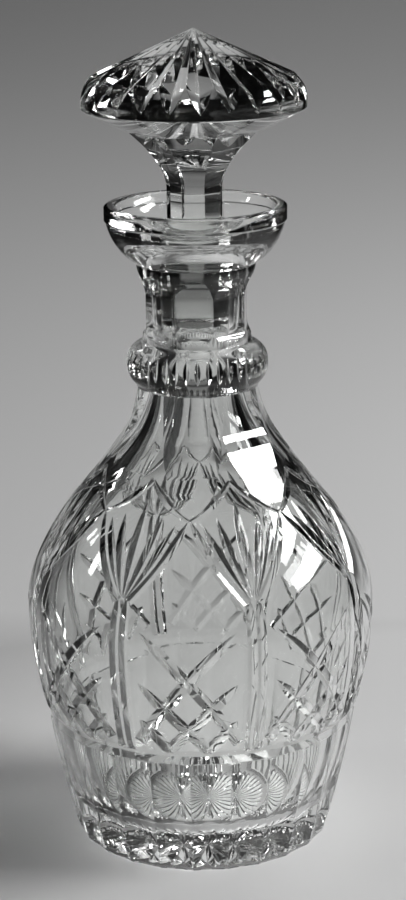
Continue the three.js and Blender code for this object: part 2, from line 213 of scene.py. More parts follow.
class BottleSizes(bpy.types.PropertyGroup):
    """Sizes of the turned bottle."""

    foot_radius: length("Foot radius", "Radius of the foot over its ridges", 0.0422)
    foot_bevel: length("Foot bevel", "Bevel round the foot", 0.0008)
    base_radius: length("Base radius", "Radius at the top of the fluted base", 0.0511)
    base_height: length("Base height", "Height of the fluted base", 0.041)
    flute_hollow: length("Flute hollow", "How hollow each flute of the base is", 0.0011)
    band_width: length("Band width", "Width of the plain band over the base", 0.0055)
    band_depth: length("Band depth", "How far the band lies back", 0.0004)
    band_bevel: length("Band bevel", "Height of the bevel over the band", 0.0024)
    band_radius: length("Band radius", "Radius at the top of the band", 0.0524)
    belly_radius: length("Belly radius", "Widest radius", 0.057)
    belly_height: length("Belly height", "Height of the widest place", 0.080)
    shoulder_radius: length("Shoulder radius", "Radius at the foot of the slices", 0.0388)
    shoulder_height: length("Shoulder height", "Height of the foot of the slices", 0.118)
    waist_radius: length("Waist radius", "Radius under the neck ring", 0.0198)
    waist_height: length("Waist height", "Height of the waist under the neck ring", 0.1525)
    ring_radius: length("Ring radius", "Radius of the neck ring", 0.0228)
    ring_height: length("Ring height", "Height of the neck ring", 0.1603)
    neck_foot_radius: length("Neck foot radius", "Radius of the neck above the ring", 0.0177)
    neck_foot_height: length("Neck foot height", "Height of the foot of the neck", 0.1675)
    neck_radius: length("Neck radius", "Radius of the neck over its corners", 0.017)
    neck_flat: length("Neck flat", "Distance of the neck's flats from the axis", 0.0157)
    neck_straight_foot: length("Neck straight from", "Height where the straight neck starts", 0.1725)
    neck_straight_top: length("Neck straight to", "Height where the straight neck ends", 0.1825)
    lip_foot_radius: length("Lip foot radius", "Radius where the lip starts", 0.0192)
    lip_foot_height: length("Lip foot height", "Height where the lip starts", 0.1925)
    lip_radius: length("Lip radius", "Radius of the lip", 0.0291)
    lip_crease: length("Lip crease", "Height of the crease under the lip's band", 0.206)
    lip_step: length("Lip step", "How far the lip's band stands out", 0.0004)
    lip_height: length("Lip height", "Height of the lip", 0.211)
    lip_wall: length("Lip wall", "Thickness of the glass at the lip", 0.0036)
    floor_height: length("Floor height", "Height of the floor inside", 0.011)
    floor_radius: length("Floor radius", "Radius of the flat floor inside", 0.026)
    wall: length("Wall", "Thickness of the glass at the belly", 0.0062)
    shoulder_wall: length("Shoulder wall", "Thickness of the glass at the shoulder", 0.0074)
    throat_radius: length("Throat radius", "Radius of the throat at its top", 0.0116)
    throat_end: length("Throat end", "Radius of the throat at its end", 0.0105)
    throat_foot: length("Throat foot", "Height of the throat's end", 0.171)
    cup_foot: length("Cup foot", "Height of the bottom of the lip's cup", 0.199)


class CutSizes(bpy.types.PropertyGroup):
    """Depths and edges of the wheel cuts."""

    column_depth: length("Column depth", "Depth of the upright mitres", 0.0012)
    arch_depth: length("Arch depth", "Depth of the mitres beside the fans", 0.001)
    leaf_depth: length("Leaf depth", "Depth of the fans' leaves", 0.0013)
    lattice_depth: length("Lattice depth", "Depth of the slanting mitres", 0.00115)
    edge_depth: length("Edge depth", "Depth of the fine cut along the slices", 0.00065)
    notch_depth: length("Notch depth", "Depth of the notches round the ring", 0.0007)
    star_depth: length("Star depth", "Depth of the star under the foot", 0.0022)
    cap_depth: length("Cap depth", "Depth of the cuts of the stopper's cap", 0.0028)
    fan_foot: length("Fan foot", "Height of the foot of the fans", 0.0945)
    column_edge: angle("Column wheel", "Half of the wheel's edge", 53.5)
    arch_edge: angle("Arch wheel", "Half of the wheel's edge", 61.0)
    leaf_edge: angle("Leaf wheel", "Half of the wheel's edge", 54.0)
    lattice_edge: angle("Lattice wheel", "Half of the wheel's edge", 61.0)
    edge_edge: angle("Edge wheel", "Half of the wheel's edge", 66.0)
    notch_edge: angle("Notch wheel", "Half of the wheel's edge", 56.0)
    star_edge: angle("Star wheel", "Half of the wheel's edge", 55.0)
    cap_edge: angle("Cap wheel", "Half of the wheel's edge", 54.0)


class StopperSizes(bpy.types.PropertyGroup):
    """Sizes of the stopper."""

    seat_gap: length("Seat gap", "Gap between plug and throat", 0.0003)
    plug_foot: length("Plug foot", "Height of the plug's end", 0.173)
    plug_bevel: length("Plug bevel", "Bevel of the plug's end", 0.0008)
    stem_flat: length("Stem flat", "Distance of the stem's flats from the axis", 0.00875)
    stem_foot: length("Stem foot", "Height where the stem's flats start", 0.207)
    flare_foot: length("Flare foot", "Height where the stem starts to flare", 0.217)
    flare_top: length("Flare top", "Height of the top of the flare", 0.2345)
    flare_radius: length("Flare radius", "Distance of the flats at the top of the flare", 0.0198)
    rim_foot: length("Rim foot", "Height of the lower edge of the rim", 0.2413)
    rim_top: length("Rim top", "Height of the upper edge of the rim", 0.2465)
    cap_radius: length("Cap radius", "Radius of the cap", 0.0354)
    cone_radius: length("Cone radius", "Radius at the foot of the cone", 0.032)
    cone_foot: length("Cone foot", "Height of the foot of the cone", 0.2515)


class CrystalLook(bpy.types.PropertyGroup):
    """Colours and finish of the glass."""

    tint: paint("Tint", "Colour of the crystal", "FEFFFE")
    ior: FloatProperty(
        name="Refraction", description="Refractive index of lead crystal", default=1.545, min=1.0)
    edge: length("Edge", "Radius of the polished edges", 0.00035)
    ripple: FloatProperty(
        name="Ripple", description="Unevenness left by the polish", default=0.035, min=0.0, max=1.0)


class StageLook(bpy.types.PropertyGroup):
    """Colours and lamps of the studio."""

    # The pale colour of the painted pool and strip of light on the floor
    floor: paint("Floor", "Colour of the floor near the decanter", "C4C4C4")
    # Painted shade: the dark of the unlit room, painted on the floor and wall beyond the pool and strip
    wall: paint("Wall", "Colour of the wall round the floor", "181818")
    key: power("Key", "Strength of the large lamp", 23.0)
    side: power("Side", "Strength of the small lamp", 0.8)
    rim: power("Rim", "Strength of the lamps behind", 3.0)
    wash: power("Wash", "Strength of the floor's own light", 44.0)
    room: FloatProperty(name="Room", description="Brightness of the room", default=0.002, min=0.0)


def curve(start, end, shares, steps):
    """Points of a Bezier curve between two (radius, height) places, without its first point."""
    controls = [(start[0] + (end[0] - start[0]) * r, start[1] + (end[1] - start[1]) * z) for r, z in shares]
    points = [start, *controls, end]
    order = len(points) - 1
    made = []
    for step in range(1, steps + 1):
        t = step / steps
        weights = [math.comb(order, i) * (1 - t) ** (order - i) * t ** i for i in range(order + 1)]
        made.append(tuple(sum(w * p[axis] for w, p in zip(weights, points)) for axis in (0, 1)))
    return made


def along(table, place):
    """Value at a place of a table of (place, value) pairs."""
    for (a, low), (b, high) in zip(table, table[1:]):
        if place <= b:
            return low + (high - low) * max(place - a, 0.0) / (b - a)
    return table[-1][1]


def outward(turn):
    """Direction away from the axis, at an angle from the front."""
    return Vector((math.sin(turn), -math.cos(turn), 0.0))


def deselect():
    if bpy.context.object and bpy.context.object.mode != "OBJECT":
        bpy.ops.object.mode_set(mode="OBJECT")
    bpy.ops.object.select_all(action="DESELECT")


def pick(obj):
    deselect()
    obj.select_set(True)
    bpy.context.view_layer.objects.active = obj


def turn_profile(name, profile, steps):
    """Draws a profile of (radius, height) point by point from one corner and spins it round the axis."""
    deselect()
    bpy.ops.mesh.primitive_plane_add(size=0.01)
    obj = bpy.context.object
    obj.name = name
    bpy.ops.object.mode_set(mode="EDIT")
    bpy.ops.mesh.merge(type="CENTER")
    place = (0.0, 0.0)
    for number, (radius, height) in enumerate(profile):
        move = (0.0, place[0] - radius, height - place[1])
        if number == 0:
            bpy.ops.transform.translate(value=move)
        else:
            bpy.ops.mesh.extrude_region_move(TRANSFORM_OT_translate={"value": move})
        place = (radius, height)
    bpy.ops.mesh.select_all(action="SELECT")
    bpy.ops.mesh.spin(steps=steps, angle=2 * math.pi, center=(0.0, 0.0, 0.0), axis=(0.0, 0.0, 1.0))
    bpy.ops.mesh.select_all(action="SELECT")
    bpy.ops.mesh.remove_doubles(threshold=TOUCH)
    bpy.ops.mesh.normals_make_consistent(inside=False)
    bpy.ops.object.mode_set(mode="OBJECT")
    return obj


def turn_flats(name, sides, flats):
    """Turns a body with flat sides, each at its distance from the axis, one facing the front."""
    half = math.pi / sides
    obj = turn_profile(name, [(flat / math.cos(half), height) for flat, height in flats], sides)
    obj.rotation_euler.z = half
    bpy.ops.object.transform_apply(location=False, rotation=True, scale=False)
    return obj


def boolean(obj, tool, operation):
    """Cuts, joins or keeps the common part of two bodies, and takes the tool away."""
    pick(obj)
    modifier = obj.modifiers.new("wheel", "BOOLEAN")
    modifier.operation = operation
    modifier.solver = "MANIFOLD"
    modifier.object = tool
    bpy.ops.object.modifier_apply(modifier=modifier.name)
    pick(tool)
    bpy.ops.object.delete()
    pick(obj)
    if not obj.data.polygons:
        raise RuntimeError("A wheel left nothing of " + obj.name)


def wheel_path(name, stations, edge):
    """The space that a V-edged wheel sweeps: a triangle extruded from station to station."""
    last = len(stations) - 1
    rows = []
    for i, (point, normal, depth) in enumerate(stations):
        way = stations[min(i + 1, last)][0] - stations[max(i - 1, 0)][0]
        across = way.cross(normal).normalized() * (depth + CLEAR) * math.tan(edge)
        top = point + normal * CLEAR
        rows.append((point - normal * depth, top + across, top - across))
    deselect()
    bpy.ops.mesh.primitive_circle_add(vertices=3, radius=0.001, fill_type="NGON")
    obj = bpy.context.object
    obj.name = name
    bpy.ops.object.mode_set(mode="EDIT")
    for i, row in enumerate(rows):
        if i:
            bpy.ops.mesh.extrude_region_move()
        mesh = bmesh.from_edit_mesh(obj.data)
        corners = [v for v in mesh.verts if v.select]
        if i:
            corners.sort(key=lambda v: min(range(3), key=lambda n: (rows[i - 1][n] - v.co).length))
        for corner, place in zip(corners, row):
            corner.co = place
        bmesh.update_edit_mesh(obj.data)
    bpy.ops.mesh.select_all(action="SELECT")
    bpy.ops.mesh.normals_make_consistent(inside=False)
    bpy.ops.object.mode_set(mode="OBJECT")
    return obj


def ring_of(tools, count, offset=0.0):
    """Joins tools that stand apart and copies them evenly round the axis."""
    pick(tools[0])
    for tool in tools[1:]:
        tool.select_set(True)
    if len(tools) > 1:
        bpy.ops.object.join()
    first = bpy.context.object
    whole = [first]
    for number in range(count):
        turn = 2 * math.pi * (number + offset) / count
        if number == 0:
            first.rotation_euler.z = turn
            continue
        pick(first)
        bpy.ops.object.duplicate()
        copy = bpy.context.object
        copy.rotation_euler.z = turn
        whole.append(copy)
    deselect()
    for copy in whole:
        copy.select_set(True)
    bpy.context.view_layer.objects.active = first
    bpy.ops.object.transform_apply(location=False, rotation=True, scale=False)
    bpy.ops.object.join()
    return bpy.context.object


def outline_of(sizes):
    """The outline of the uncut bottle, in parts from the foot to the lip."""
    foot = (sizes.foot_radius, sizes.foot_bevel)
    base_top = (sizes.base_radius, sizes.base_height)
    band_top = sizes.base_height + sizes.band_width
    band = (sizes.band_radius, band_top)
    belly = (sizes.belly_radius, sizes.belly_height)
    shoulder = (sizes.shoulder_radius, sizes.shoulder_height)
    waist = (sizes.waist_radius, sizes.waist_height)
    ring = (sizes.ring_radius, sizes.ring_height)
    neck = (sizes.neck_foot_radius, sizes.neck_foot_height)
    straight = (sizes.neck_radius, sizes.neck_straight_foot)
    flare = (sizes.neck_radius, sizes.neck_straight_top)
    lip_foot = (sizes.lip_foot_radius, sizes.lip_foot_height)
    crease = (sizes.lip_radius - sizes.lip_step, sizes.lip_crease)
    lip_side = (sizes.lip_radius, sizes.lip_height - LIP_EDGE)
    lip_top = (sizes.lip_radius - LIP_EDGE * 1.4, sizes.lip_height)
    return [
        (sizes.foot_radius - sizes.foot_bevel, 0.0),
        foot,
        *curve(foot, base_top, BASE_CURVE, 16),
        (sizes.base_radius - sizes.band_depth, sizes.base_height + sizes.band_depth * 0.75),
        (sizes.base_radius - sizes.band_depth * 0.4, band_top - sizes.band_bevel),
        band,
        *curve(band, belly, BELLY_LOWER_CURVE, 18),
        *curve(belly, shoulder, BELLY_UPPER_CURVE, 26),
        *curve(shoulder, waist, SHOULDER_CURVE, 22),
        *curve(waist, ring, RING_LOWER_CURVE, 12),
        *curve(ring, neck, RING_UPPER_CURVE, 12),
        *curve(neck, straight, NECK_FOOT_CURVE, 4),
        *curve(straight, flare, NECK_CURVE, 4),
        *curve(flare, lip_foot, NECK_FLARE_CURVE, 10),
        *curve(lip_foot, crease, LIP_CURVE, 16),
        (sizes.lip_radius, sizes.lip_crease + sizes.lip_step),
        lip_side,
        *curve(lip_side, lip_top, LIP_EDGE_CURVE, 5),
    ]


def cavity_of(sizes):
    """The outline of the space inside, from the floor up through the throat and the cup of the lip."""
    middle = (0.0, sizes.floor_height + FLOOR_RISE)
    floor = (sizes.floor_radius, sizes.floor_height)
    base = (sizes.base_radius - sizes.wall, sizes.base_height)
    belly = (sizes.belly_radius - sizes.wall, sizes.belly_height)
    shoulder = (sizes.shoulder_radius - sizes.shoulder_wall, sizes.shoulder_height)
    throat_end = (sizes.throat_end, sizes.waist_height)
    throat = (sizes.throat_radius, sizes.cup_foot)
    cup = (sizes.lip_radius - sizes.lip_wall, sizes.lip_height - LIP_EDGE)
    cup_top = (cup[0] + LIP_EDGE, sizes.lip_height)
    return [
        middle,
        *curve(middle, floor, FLOOR_MIDDLE_CURVE, 6),
        *curve(floor, base, FLOOR_CURVE, 18),
        *curve(base, belly, BELLY_LOWER_CURVE, 12),
        *curve(belly, shoulder, BELLY_UPPER_CURVE, 18),
        *curve(shoulder, throat_end, INNER_SHOULDER_CURVE, 20),
        (sizes.throat_end, sizes.throat_foot),
        throat,
        *curve(throat, cup, CUP_CURVE, 14),
        *curve(cup, cup_top, CUP_EDGE_CURVE, 4),
        (cup_top[0], sizes.lip_height + CLEAR),
        (0.0, sizes.lip_height + CLEAR),
    ]


def hollow_flutes(obj, sizes):
    """Draws the turned base in to hollow flutes, whose ridges stand where they were."""
    pick(obj)
    bpy.ops.object.mode_set(mode="EDIT")
    mesh = bmesh.from_edit_mesh(obj.data)
    step = 2 * math.pi / FLUTES
    for corner in mesh.verts:
        radius = math.hypot(corner.co.x, corner.co.y)
        above = corner.co.z > sizes.base_height + TOUCH
        under_foot = radius < sizes.foot_radius * 0.95
        if above or under_foot:
            continue
        turn = math.atan2(corner.co.x, -corner.co.y)
        side = (turn / step) % 1.0 - 0.5
        chord = math.cos(step / 2) / math.cos(side * step)
        rise = min(corner.co.z / sizes.base_height, 1.0)
        hollow = sizes.flute_hollow * along(FLUTE_SHARES, rise)
        drawn = radius * chord - hollow * (1 - (2 * side) ** 2)
        corner.co.x *= drawn / radius
        corner.co.y *= drawn / radius
    bmesh.update_edit_mesh(obj.data)
    bpy.ops.object.mode_set(mode="OBJECT")


class Glass:
    """Where the uncut glass of the bottle lies, for the wheels that follow it."""

    def __init__(self, sizes):
        self.table = [(z, r) for r, z in outline_of(sizes)]

    def radius(self, height):
        return along(self.table, height)

    def station(self, turn, height, depth):
        rise = self.radius(height + SLOPE_REACH) - self.radius(height - SLOPE_REACH)
        slope = rise / (SLOPE_REACH * 2)
        point = outward(turn) * self.radius(height) + Vector((0.0, 0.0, height))
        normal = (outward(turn) + Vector((0.0, 0.0, -slope))).normalized()
        return point, normal, depth

    def cut(self, name, start, end, depth, depths, edge, steps=14, bow=0.0):
        """A cut over the belly from one (angle, height) to another, with its depth as a table of shares."""
        stations = []
        for i in range(steps + 1):
            t = i / steps
            turn = start[0] + (end[0] - start[0]) * t
            height = start[1] + (end[1] - start[1]) * t + bow * 4 * t * (1 - t)
            stations.append(self.station(turn, height, depth * along(depths, t)))
        return wheel_path(name, stations, edge)


def slices_of(sizes):
    """Flat-sided body that keeps eight slices down the shoulder and eight flats round the neck."""
    wide = sizes.belly_radius + CLEAR
    past_ring = sizes.ring_radius + CLEAR
    narrowing = sizes.waist_radius - sizes.shoulder_radius
    climb = sizes.waist_height - sizes.shoulder_height
    slices = []
    for radius_share, height_share in SLICE_SHARES:
        radius = sizes.shoulder_radius + narrowing * radius_share
        slices.append((radius, sizes.shoulder_height + climb * height_share))
    steep = (slices[1][1] - slices[0][1]) / (slices[0][0] - slices[1][0])
    low = sizes.shoulder_height - (wide - sizes.shoulder_radius) * steep
    foot = (sizes.neck_radius, sizes.neck_foot_height + CLEAR)
    flat_foot = (sizes.neck_flat, sizes.neck_straight_foot)
    flat_top = (sizes.neck_flat, sizes.neck_straight_top)
    out = (sizes.lip_foot_radius, sizes.lip_foot_height - sizes.lip_foot_radius + sizes.neck_radius)
    return turn_flats("slices", PANELS, [
        (0.0, -CLEAR),
        (wide, -CLEAR),
        (wide, low),
        *slices,
        (past_ring, sizes.waist_height + CLEAR),
        (past_ring, sizes.neck_foot_height - CLEAR),
        foot,
        *curve(foot, flat_foot, NECK_FLAT_FOOT_CURVE, 5),
        flat_top,
        *curve(flat_top, out, NECK_FLAT_TOP_CURVE, 8),
        (wide, sizes.lip_foot_height),
        (wide, sizes.lip_height + CLEAR),
        (0.0, sizes.lip_height + CLEAR),
    ])


def cut_star(radius, depth, edge):
    """The rays of the star under the foot, as one ridged cone that meets them all."""
    rings = 12
    profile = [(0.0, 0.0)] + [(radius * i / rings, 0.0) for i in range(1, rings + 1)]
    profile += [(radius, -CLEAR), (0.0, -CLEAR)]
    obj = turn_profile("star", profile, STAR_RAYS * 2)
    pick(obj)
    bpy.ops.object.mode_set(mode="EDIT")
    mesh = bmesh.from_edit_mesh(obj.data)
    for corner in mesh.verts:
        if corner.co.z < -CLEAR / 2:
            continue
        out = math.hypot(corner.co.x, corner.co.y)
        turn = math.atan2(corner.co.x, -corner.co.y)
        ridge = round(turn / (math.pi / STAR_RAYS)) % 2
        fall = math.pi * out / STAR_RAYS / math.tan(edge) if ridge else 0.0
        corner.co.z = max(depth * along(STAR_SHARES, out / radius) - fall, -CLEAR / 2)
    bmesh.update_edit_mesh(obj.data)
    bpy.ops.object.mode_set(mode="OBJECT")
    return obj


def cut_bottle(obj, sizes, cuts):
    """Every wheel cut of the bottle, one kind at a time."""
    glass = Glass(sizes)
    column = math.pi / PANELS
    degree = math.radians(1)
    band_top = sizes.base_height + sizes.band_width
    foot = cuts.fan_foot
    fan_height = sizes.shoulder_height - foot

    def take(tools, count=PANELS, offset=0.0):
        boolean(obj, ring_of(tools, count, offset), "DIFFERENCE")

    # Two upright mitres side by side down each column
    for side in (-PILLAR_TURN, PILLAR_TURN):
        turn = column + side * degree
        take([glass.cut("pillar", (turn, foot + PILLAR_HEAD), (turn, band_top - PILLAR_TAIL),
                        cuts.column_depth, PILLAR_SHARES, cuts.column_edge, 18)])

    # The wide mitres that fall from the middle of a panel to the columns
    for side in (-1, 1):
        end = (side * (column - ARCH_TURN * degree), foot + ARCH_TAIL)
        take([glass.cut("arch", (0.0, sizes.shoulder_height + ARCH_HEAD), end,
                        cuts.arch_depth, ARCH_SHARES, cuts.arch_edge, 14)])

    # The leaves of each fan
    for lean, top in LEAVES:
        height = sizes.shoulder_height + fan_height * top
        start = LEAF_TAIL / (height - foot)
        tail = (column + lean * degree * start, foot + LEAF_TAIL)
        take([glass.cut("leaf", tail, (column + lean * degree, height),
                        cuts.leaf_depth, LEAF_SHARES, cuts.leaf_edge, 18)])

    # Three slanting mitres each way across the foot of a panel
    for way in (-1, 1):
        tools = []
        for start, high, end, low, bow in SLANTS:
            tools.append(glass.cut(
                "slant", (way * start * degree, high), (way * end * degree, low),
                cuts.lattice_depth, SLANT_SHARES, cuts.lattice_edge, 16, bow))
        take(tools)

    # The fine cut along the upper edge of the belly, from the middle of a panel to the tops of the columns
    for side in (-1, 1):
        take([glass.cut("edge", (0.0, sizes.shoulder_height - FINE_HEAD), (side * column, FINE_TAIL_HEIGHT),
                        cuts.edge_depth, FINE_SHARES, cuts.edge_edge, 12, FINE_BOW)])

    # Notches round the ring of the neck
    middle = sizes.ring_height + NOTCH_RISE
    take([glass.cut("notch", (0.0, middle + NOTCH_SPREAD), (0.0, middle - NOTCH_SPREAD),
                    cuts.notch_depth, NOTCH_SHARES, cuts.notch_edge, 8)], NOTCHES, 0.5)

    # The star under the foot
    boolean(obj, cut_star(sizes.foot_radius - STAR_MARGIN, cuts.star_depth, cuts.star_edge), "DIFFERENCE")


def node(tree, kind, settings=None, links=None):
    """Adds a node, sets its properties and inputs, and links inputs from other nodes' outputs."""
    made = tree.nodes.new(kind)
    for key, value in (settings or {}).items():
        if isinstance(key, str) and key.islower():
            setattr(made, key, value)
        else:
            made.inputs[key].default_value = value
    for key, (source, output) in (links or {}).items():
        tree.links.new(source.outputs[output], made.inputs[key])
    return made


def crystal_material(look):
    """Polished lead crystal: clear and bright, with the faint ripple that polishing leaves on blown glass."""
    material = bpy.data.materials.new("polished_lead_crystal")
    material.use_nodes = True
    tree = material.node_tree
    tree.nodes.clear()
    place = node(tree, "ShaderNodeTexCoord")
    # Slow waves of the blown and acid-polished skin, about 9 mm apart and drawn coarser than the real ones
    wave = node(tree, "ShaderNodeTexNoise", {"Scale": 110.0, "Detail": 1.5, "Roughness": 0.4},
                {"Vector": (place, "Object")})
    # Polishing rounds every edge a little, and the edges catch the light as fine lines
    edges = node(tree, "ShaderNodeBevel", {"samples": 4, "Radius": look.edge})
    skin = node(tree, "ShaderNodeBump", {"Strength": look.ripple, "Distance": 0.001},
                {"Height": (wave, "Fac"), "Normal": (edges, "Normal")})
    glass = node(tree, "ShaderNodeBsdfPrincipled", {
        "Base Color": (*look.tint, 1.0), "Roughness": 0.0, "IOR": look.ior, "Transmission Weight": 1.0,
        "Specular Tint": (1.0, 1.0, 1.0, 1.0),
    }, {"Normal": (skin, "Normal")})
    # Light falls through the solid foot to the floor, and the hollow body turns most of it aside
    path = node(tree, "ShaderNodeLightPath")
    height = node(tree, "ShaderNodeSeparateXYZ", None, {0: (place, "Object")})
    dimmed = node(tree, "ShaderNodeMapRange", {
        "From Min": 0.03, "From Max": 0.045, "To Min": 0.9, "To Max": 0.25,
    }, {"Value": (height, "Z")})
    clear = node(tree, "ShaderNodeBsdfTransparent", None, {"Color": (dimmed, "Result")})
    both = node(tree, "ShaderNodeMixShader", None, {
        0: (path, "Is Shadow Ray"), 1: (glass, "BSDF"), 2: (clear, "BSDF"),
    })
    node(tree, "ShaderNodeOutputMaterial", None, {"Surface": (both, "Shader")})
    return material


def finish_glass(obj, node_name, body):
    """Shades the cuts crisp, gives the crystal and sets the piece in the frame."""
    pick(obj)
    bpy.ops.object.mode_set(mode="EDIT")
    bpy.ops.mesh.select_all(action="SELECT")
    bpy.ops.mesh.remove_doubles(threshold=WELD)
    bpy.ops.mesh.dissolve_degenerate(threshold=WELD)
    bpy.ops.object.mode_set(mode="OBJECT")
    bpy.ops.object.shade_smooth_by_angle(angle=math.radians(CRISP))
    obj.data.materials.clear()
    material = bpy.data.materials.get("polished_lead_crystal")
    if material is None:
        material = crystal_material(bpy.context.scene.decanter_look)
    obj.data.materials.append(material)
    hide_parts(node_name)
    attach(obj, body)


class DECANTER_OT_bottle(bpy.types.Operator):
    """Turns the bottle, slices and hollows it, and cuts its pattern"""

    bl_idname = "decanter.bottle"
    bl_label = "Cut Bottle"

    def execute(self, context):
        sizes = context.scene.decanter_bottle
        under = [(0.0, 0.0), (sizes.foot_radius - STAR_MARGIN, 0.0)]
        outline = [*under, *outline_of(sizes), (0.0, sizes.lip_height)]
        obj = turn_profile("crystal_bottle", outline, TURNS)
        hollow_flutes(obj, sizes)
        boolean(obj, slices_of(sizes), "INTERSECT")
        boolean(obj, turn_profile("cavity", cavity_of(sizes), INNER_TURNS), "DIFFERENCE")
        cut_bottle(obj, sizes, context.scene.decanter_cuts)
        finish_glass(obj, "bottle", "bottle")
        return {"FINISHED"}


class DECANTER_OT_stopper(bpy.types.Operator):
    """Turns the stopper, cuts its eight flats and the mitres of its cap"""

    bl_idname = "decanter.stopper"
    bl_label = "Cut Stopper"

    def execute(self, context):
        sizes = context.scene.decanter_stopper
        bottle = context.scene.decanter_bottle
        cuts = context.scene.decanter_cuts
        corner = 1 / math.cos(math.pi / PANELS)
        throat = bottle.throat_radius - sizes.seat_gap
        slope = (bottle.throat_radius - bottle.throat_end) / (bottle.cup_foot - bottle.throat_foot)
        end = throat - slope * (bottle.cup_foot - sizes.plug_foot)
        plug_end = (end - sizes.plug_bevel, sizes.plug_foot)
        plug_side = (end, sizes.plug_foot + sizes.plug_bevel)
        plug_top = (throat, bottle.cup_foot)
        stem = (sizes.stem_flat * corner, sizes.stem_foot)
        flare_foot = (sizes.stem_flat, sizes.flare_foot)
        flare = curve(flare_foot, (sizes.flare_radius, sizes.flare_top), FLARE_CURVE, 18)
        rim = (sizes.cap_radius, sizes.rim_top - RIM_ROUND)
        cone_foot = (sizes.cone_radius, sizes.cone_foot)
        profile = [
            (0.0, sizes.plug_foot),
            plug_end,
            *curve(plug_end, plug_side, PLUG_BEVEL_CURVE, 4),
            plug_top,
            *curve(plug_top, stem, PLUG_SHOULDER_CURVE, 8),
            (stem[0], sizes.flare_foot),
            *[(r * corner, z) for r, z in flare],
            (sizes.cap_radius - RIM_BEVEL, sizes.rim_foot),
            (sizes.cap_radius, sizes.rim_foot + RIM_BEVEL),
            rim,
            *curve(rim, cone_foot, CAP_ROUND_CURVE, 8),
            (sizes.cone_radius * 0.5, (sizes.cone_foot + OVERALL) / 2),
            (0.0, OVERALL),
        ]
        obj = turn_profile("crystal_stopper", profile, TURNS)
        wide = sizes.cap_radius + CLEAR * 2
        past_plug = (throat + CLEAR, bottle.cup_foot + FLATS_START)
        flats = turn_flats("stem_flats", PANELS, [
            (0.0, sizes.plug_foot - CLEAR),
            (throat + CLEAR, sizes.plug_foot - CLEAR),
            past_plug,
            *curve(past_plug, (sizes.stem_flat, sizes.stem_foot), STEM_FOOT_CURVE, 6),
            flare_foot,
            *flare,
            (wide, sizes.rim_foot),
            (wide, OVERALL + CLEAR),
            (0.0, OVERALL + CLEAR),
        ])
        boolean(obj, flats, "INTERSECT")
        boolean(obj, self.mitred_cap(sizes, cuts), "INTERSECT")
        finish_glass(obj, "stopper", "stopper")
        return {"FINISHED"}

    def mitred_cap(self, sizes, cuts):
        """A body whose ridged roof keeps the cap's 24 mitres, valley and ridge by turns."""
        lean = Vector((OVERALL - sizes.cone_foot, sizes.cone_radius)).normalized()
        turn_down = (sizes.cone_radius - lean.x * cuts.cap_depth, sizes.cone_foot - lean.y * cuts.cap_depth)
        way_out = (sizes.cap_radius + CLEAR, sizes.rim_foot - VALLEY_DROP)
        fall = turn_down[1] - OVERALL
        valley = [(turn_down[0] * share, OVERALL + fall * share) for share in (0.25, 0.5, 0.75, 1.0)]
        valley += curve(turn_down, way_out, CAP_VALLEY_CURVE, 8)
        low = sizes.plug_foot - CLEAR
        profile = [(0.0, low), (way_out[0], low), *reversed(valley), (0.0, OVERALL)]
        obj = turn_profile("cap_mitres", profile, STOPPER_CUTS * 2)
        pick(obj)
        bpy.ops.object.mode_set(mode="EDIT")
        mesh = bmesh.from_edit_mesh(obj.data)
        step = math.pi / STOPPER_CUTS
        for spot in mesh.verts:
            out = math.hypot(spot.co.x, spot.co.y)
            in_valley = round(math.atan2(spot.co.x, -spot.co.y) / step) % 2
            if in_valley or out < ON_AXIS or spot.co.z < low + TOUCH:
                continue
            misses = [abs(radius - out) + abs(height - spot.co.z) for radius, height in valley]
            place = misses.index(min(misses))
            before, after = valley[max(place - 1, 0)], valley[min(place + 1, len(valley) - 1)]
            normal = Vector((before[1] - after[1], after[0] - before[0])).normalized()
            rise = step * out / math.tan(cuts.cap_edge)
            spot.co.x *= 1 + normal.x * rise / out
            spot.co.y *= 1 + normal.x * rise / out
            spot.co.z += normal.y * rise
        bmesh.update_edit_mesh(obj.data)
        bpy.ops.object.mode_set(mode="OBJECT")
        return obj


def add_lamp(name, watts, size, place, aim=MIDDLE):
    """A softbox of a width and height in metres, which the camera doesn't see."""
    light = bpy.data.lights.new(name, "AREA")
    light.shape = "RECTANGLE"
    light.size, light.size_y = size
    light.energy = watts
    lamp = bpy.data.objects.new(name, light)
    bpy.context.collection.objects.link(lamp)
    lamp.location = place
    lamp.rotation_mode = "QUATERNION"
    lamp.rotation_quaternion = (Vector(aim) - Vector(place)).to_track_quat("-Z", "Y")
    lamp.visible_camera = False
    # A softbox is brightest in its middle
    light.use_nodes = True
    tree = light.node_tree
    tree.nodes.clear()
    spot = node(tree, "ShaderNodeNewGeometry")
    edge = node(tree, "ShaderNodeVectorMath", {"operation": "DISTANCE", 1: (0.5, 0.5, 0.0)},
                {0: (spot, "Parametric")})
    fade = node(tree, "ShaderNodeMapRange", {
        "interpolation_type": "SMOOTHSTEP", "From Min": 0.3, "From Max": 0.62, "To Min": 1.15, "To Max": 0.4,
    }, {"Value": (edge, "Value")})
    glow = node(tree, "ShaderNodeEmission", None, {"Strength": (fade, "Result")})
    node(tree, "ShaderNodeOutputLight", None, {"Surface": (glow, "Emission")})
    return lamp


